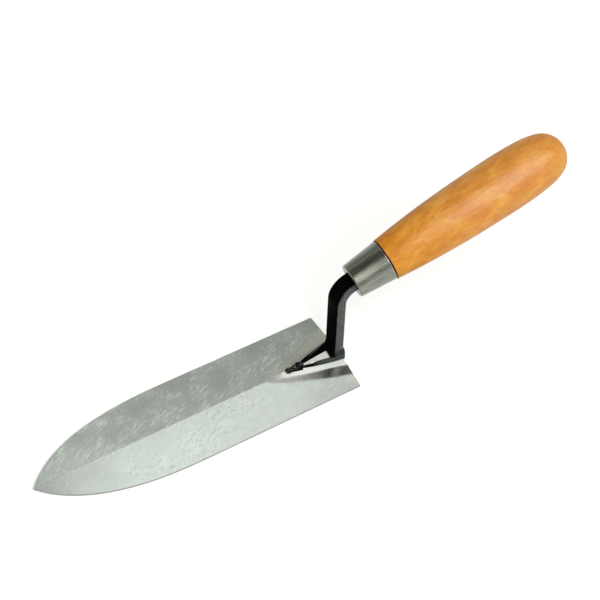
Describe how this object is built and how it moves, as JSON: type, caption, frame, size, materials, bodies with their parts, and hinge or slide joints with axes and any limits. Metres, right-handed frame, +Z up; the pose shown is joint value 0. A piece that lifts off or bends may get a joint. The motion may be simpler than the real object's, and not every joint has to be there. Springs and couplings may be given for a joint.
{
  "type": "brick trowel",
  "caption": "Brick trowel with a leaf-shaped folded steel blade, a cranked shank welded on a spearhead foot, a ferrule and a turned wooden handle.",
  "frame": {"origin": "middle of the footprint, on the flat surface that the trowel lies on", "axes": "+X from the blade's tip to the butt of the handle, +Y across the blade, +Z up"},
  "size_m": [0.3577, 0.0608, 0.1136],
  "materials": {
    "blade_steel": "satin with fine rolling and grinding marks",
    "shank_steel": "dark polished forging",
    "weld": "rough, dark",
    "ferrule_steel": "dark drawn steel with lengthwise streaks",
    "handle_wood": "honey-coloured lacquer"
  },
  "bodies": {
    "root": {"blade": "blade_steel", "shank": "shank_steel", "weld_bead": "weld", "ferrule": "ferrule_steel", "handle": "handle_wood"}
  },
  "joints": []
}
